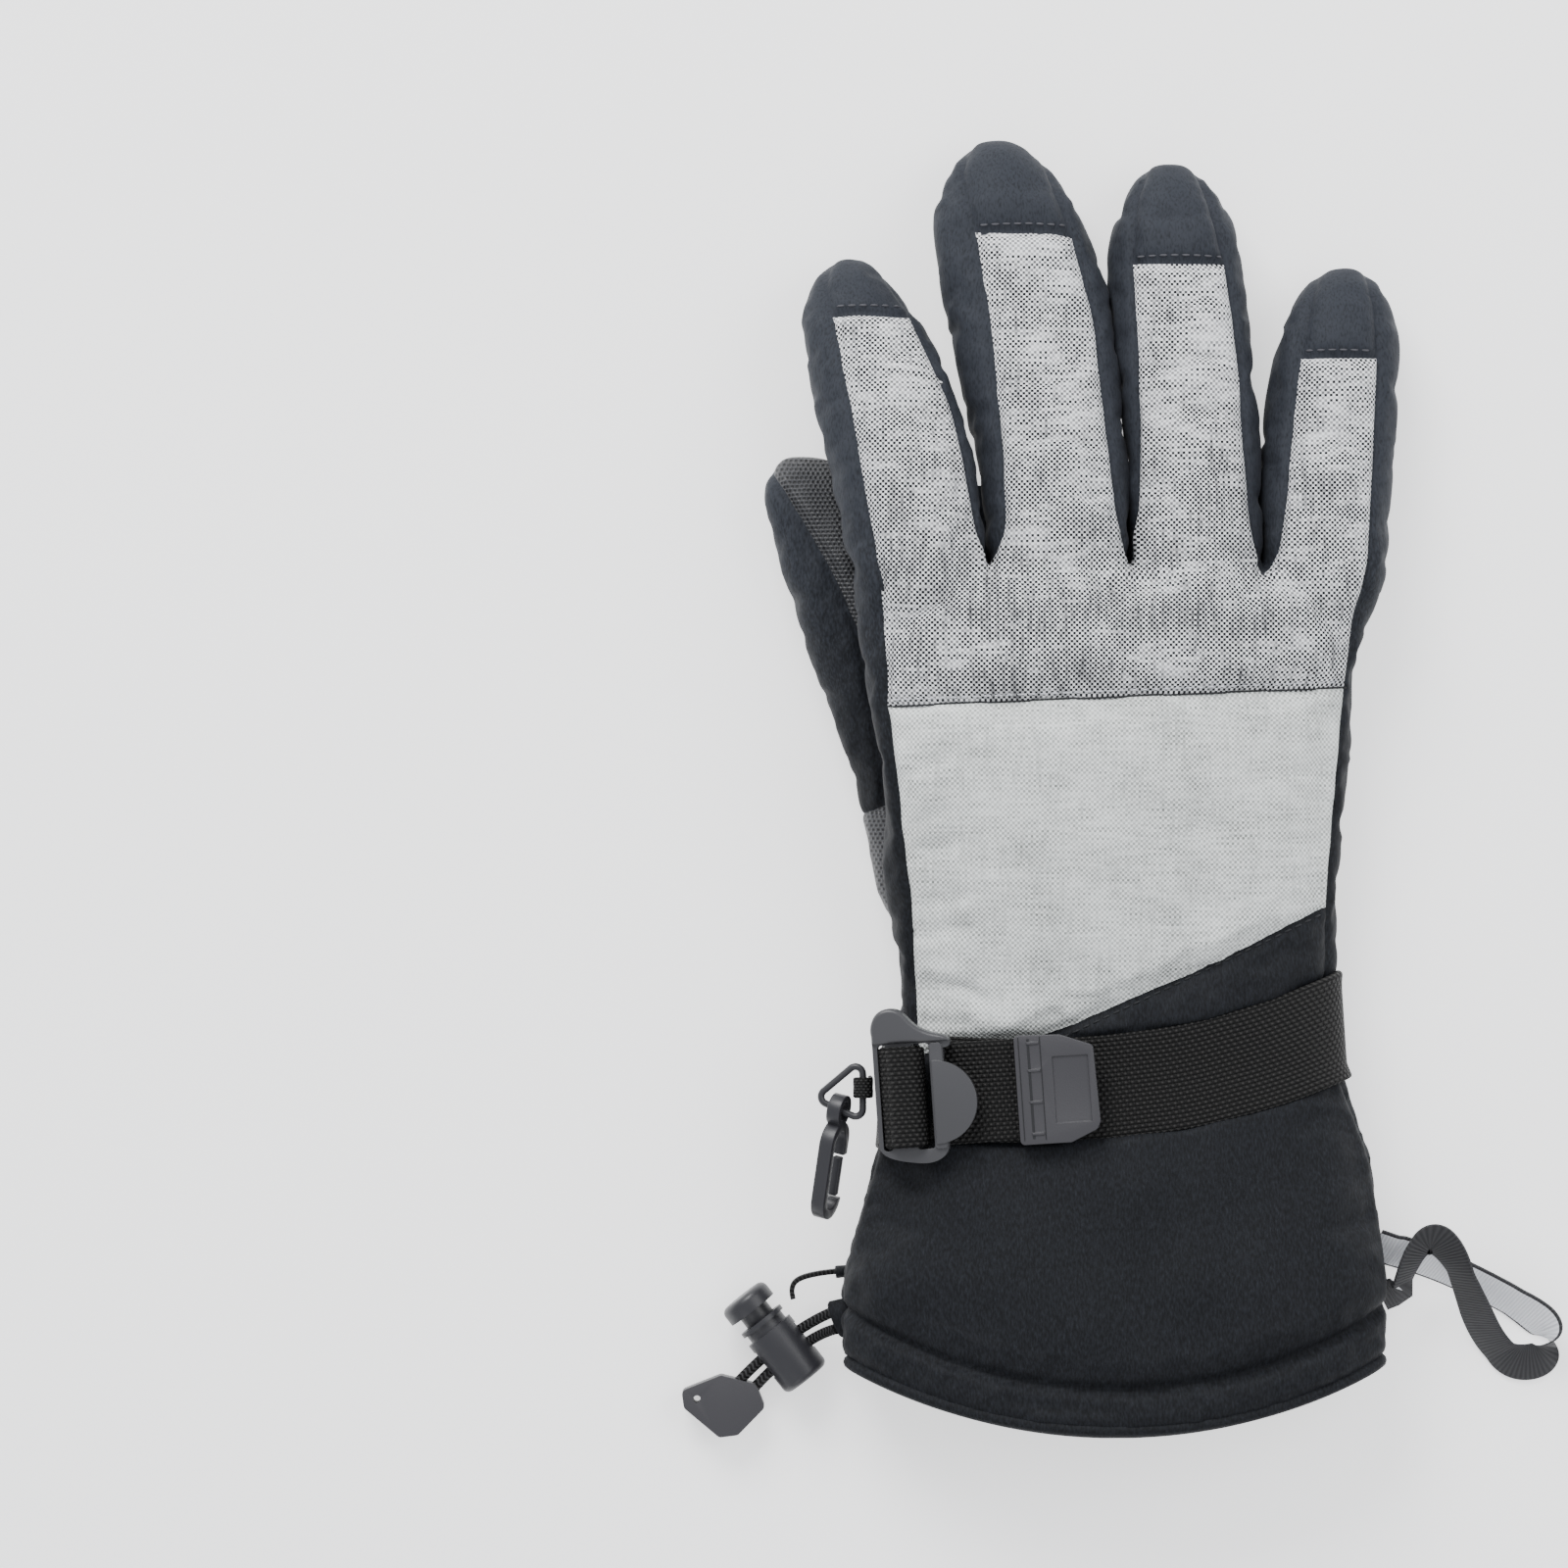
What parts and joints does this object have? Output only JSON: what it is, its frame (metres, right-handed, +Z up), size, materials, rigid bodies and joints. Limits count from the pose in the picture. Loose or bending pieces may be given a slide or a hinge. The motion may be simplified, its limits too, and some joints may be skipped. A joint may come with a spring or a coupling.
{
  "type": "ski glove",
  "caption": "Insulated ski glove for the right hand with a gauntlet cuff, buckled wrist strap, snap hook, cord lock and wrist leash.",
  "frame": {"origin": "on the surface the glove lies on, under the middle of its box, left out the cords and what is on them", "axes": "+Y from the cuff to the fingertips, +Z up out of the back of the hand, thumb on the -X side"},
  "size_m": [0.2139, 0.3161, 0.0441],
  "materials": {
    "dark_heather": "melange woven polyester",
    "light_heather": "melange woven polyester",
    "embossed_palm": "embossed polyurethane leather",
    "softshell": "brushed softshell",
    "insulation": "lofted polyester wadding",
    "lining": "brushed fleece",
    "webbing": "coarse woven webbing",
    "braid": "flat braid",
    "ribbon": "two-tone woven ribbon",
    "elastic_cord": "smooth woven sheath",
    "buckle_plastic": "satin moulded acetal",
    "soft_rubber": "moulded matt",
    "hardware_plastic": "moulded nylon",
    "spring_steel": "drawn wire"
  },
  "bodies": {
    "hand": {"knuckle_panel": "dark_heather", "back_panel": "light_heather", "wrist_wedge": "softshell", "palm_panel": "embossed_palm", "wrist_shirring": "softshell", "radial_side_panel": "softshell", "ulnar_side_panel": "softshell", "thumb_gusset": "softshell", "hand_insulation": "insulation", "hand_lining": "lining", "cuff_back": "softshell", "cuff_palm": "softshell", "cuff_insulation": "insulation", "hem_back": "softshell", "hem_palm": "softshell", "wrist_strap": "webbing", "buckle_anchor": "webbing", "ring_tab": "braid", "lock_tether": "braid", "drawcord_a": "elastic_cord", "drawcord_b": "elastic_cord", "cord_end": "soft_rubber"},
    "index": {"index_back_strip": "dark_heather", "index_fingertip": "softshell", "index_fourchettes": "softshell", "index_palm_strip": "embossed_palm", "index_insulation": "insulation", "index_lining": "lining"},
    "middle": {"middle_back_strip": "dark_heather", "middle_fingertip": "softshell", "middle_fourchettes": "softshell", "middle_palm_strip": "embossed_palm", "middle_insulation": "insulation", "middle_lining": "lining"},
    "ring": {"ring_back_strip": "dark_heather", "ring_fingertip": "softshell", "ring_fourchettes": "softshell", "ring_palm_strip": "embossed_palm", "ring_insulation": "insulation", "ring_lining": "lining"},
    "little": {"little_back_strip": "dark_heather", "little_fingertip": "softshell", "little_fourchettes": "softshell", "little_palm_strip": "embossed_palm", "little_insulation": "insulation", "little_lining": "lining"},
    "thumb": {"thumb_palm_wrap": "embossed_palm", "thumb_back": "softshell", "thumb_insulation": "insulation", "thumb_lining": "lining"},
    "buckle": {"ladder_buckle": "buckle_plastic"},
    "strap_tail": {"strap_tail": "webbing", "strap_tab": "soft_rubber"},
    "ring_link": {"triangle_ring": "hardware_plastic"},
    "hook": {"hook_body": "hardware_plastic"},
    "gate": {"hook_gate": "hardware_plastic"},
    "lock": {"lock_barrel": "hardware_plastic", "lock_spring": "spring_steel"},
    "plunger": {"lock_plunger": "hardware_plastic"},
    "leash": {"leash_loop": "ribbon"}
  },
  "joints": [
    {"name": "index_flex", "type": "hinge", "parent": "hand", "child": "index", "pos_m": [-0.0396, 0.0504, 0.0285], "axis": [-1, 0, 0], "range_deg": [-10, 3]},
    {"name": "middle_flex", "type": "hinge", "parent": "hand", "child": "middle", "pos_m": [-0.00555, 0.0504, 0.023], "axis": [-1, 0, 0], "range_deg": [-10, 45]},
    {"name": "ring_flex", "type": "hinge", "parent": "hand", "child": "ring", "pos_m": [0.0274, 0.0504, 0.02], "axis": [-1, 0, 0], "range_deg": [-10, 45]},
    {"name": "little_flex", "type": "hinge", "parent": "hand", "child": "little", "pos_m": [0.05835, 0.0504, 0.0162], "axis": [-1, 0, 0], "range_deg": [-10, 45]},
    {"name": "thumb_swing", "type": "hinge", "parent": "hand", "child": "thumb", "pos_m": [-0.0576, -0.002, 0.01], "axis": [0, 0, 1], "range_deg": [0, 40]},
    {"name": "buckle_tilt", "type": "hinge", "parent": "hand", "child": "buckle", "pos_m": [-0.04876, -0.07617, 0.03394], "axis": [0.0698, -0.9976, 0], "range_deg": [0, 50]},
    {"name": "strap_pull", "type": "slide", "parent": "buckle", "child": "strap_tail", "axis": [0.9879, 0.0691, 0.1392], "range_m": [-0.006, 0.012]},
    {"name": "ring_swing", "type": "hinge", "parent": "hand", "child": "ring_link", "pos_m": [-0.0532, -0.074, 0.0296], "axis": [0, 1, 0], "range_deg": [-12, 60]},
    {"name": "hook_swing", "type": "hinge", "parent": "ring_link", "child": "hook", "pos_m": [-0.059, -0.079, 0.0286], "axis": [0, 0, -1], "range_deg": [0, 30]},
    {"name": "gate_flex", "type": "hinge", "parent": "hook", "child": "gate", "pos_m": [-0.05902, -0.09058, 0.02168], "axis": [-0.9055, 0.2188, -0.3635], "range_deg": [0, 22], "stiffness_Nm_per_rad": 0.01, "springref_deg": -5.73},
    {"name": "lock_slide", "type": "slide", "parent": "hand", "child": "lock", "axis": [0.7834, 0.6179, 0.0662], "range_m": [-0.0008, 0.005], "deforming": ["drawcord_a", "drawcord_b", "lock_tether"]},
    {"name": "plunger_press", "type": "slide", "parent": "lock", "child": "plunger", "axis": [0.6198, -0.7848, 0], "range_m": [0, 0.0025], "stiffness_N_per_m": 300, "springref_m": -0.001, "deforming": ["lock_spring"]},
    {"name": "leash_swing", "type": "hinge", "parent": "hand", "child": "leash", "pos_m": [0.075, -0.1186, 0.0162], "axis": [0, -1, 0], "range_deg": [0, 70]}
  ]
}
